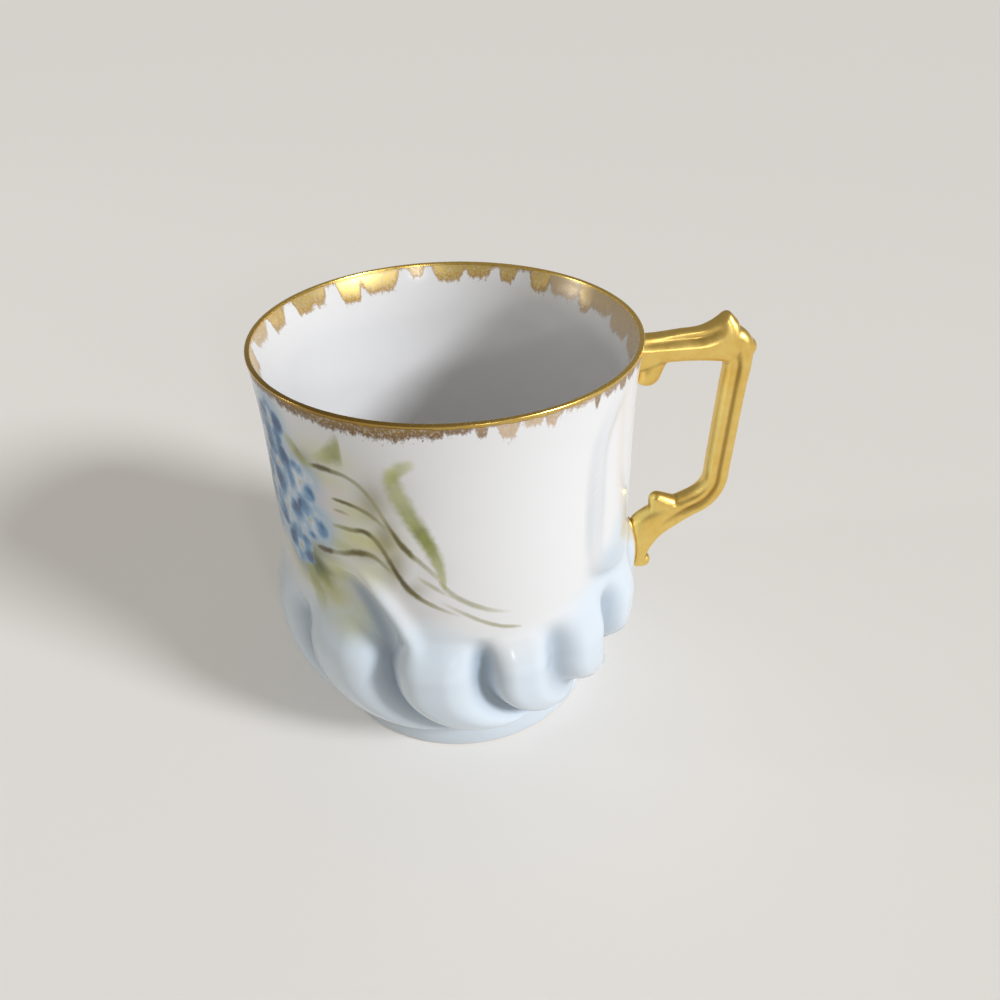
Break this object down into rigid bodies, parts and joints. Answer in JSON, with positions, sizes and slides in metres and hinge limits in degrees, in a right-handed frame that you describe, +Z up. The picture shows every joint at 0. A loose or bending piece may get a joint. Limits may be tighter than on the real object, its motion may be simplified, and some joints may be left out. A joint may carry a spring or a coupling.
{
  "type": "porcelain cup",
  "caption": "Small straight-sided porcelain cup on a swirled gadroon base with a plain foot ring, an angular gilded side handle and a gilded lip; holds a hot drink.",
  "frame": {"origin": "middle of the foot ring, in the plane of the table that the cup stands on", "axes": "+Z up along the cup's own axis, +X towards the handle, +Y to the back of the cup as it is seen with the handle on the right"},
  "size_m": [0.0781, 0.063, 0.0661],
  "materials": {
    "porcelain": "clear glaze over hard white porcelain, tinted pale blue on the gadroons, with a painted spray of small blue flowers",
    "porcelain_foot": "clear glaze with a faint blue tint, bare at the seat",
    "gilded_porcelain": "satin fired gold over glazed porcelain",
    "gilded_slip": "satin fired gold over glazed porcelain",
    "fired_gold": "fired gold, worn and dabbed"
  },
  "bodies": {
    "root": {"cup_body": "porcelain", "foot_ring": "porcelain_foot", "handle": "gilded_porcelain", "upper_slip_joint": "gilded_slip", "lower_slip_joint": "gilded_slip", "rim_gilding": "fired_gold"}
  },
  "joints": []
}
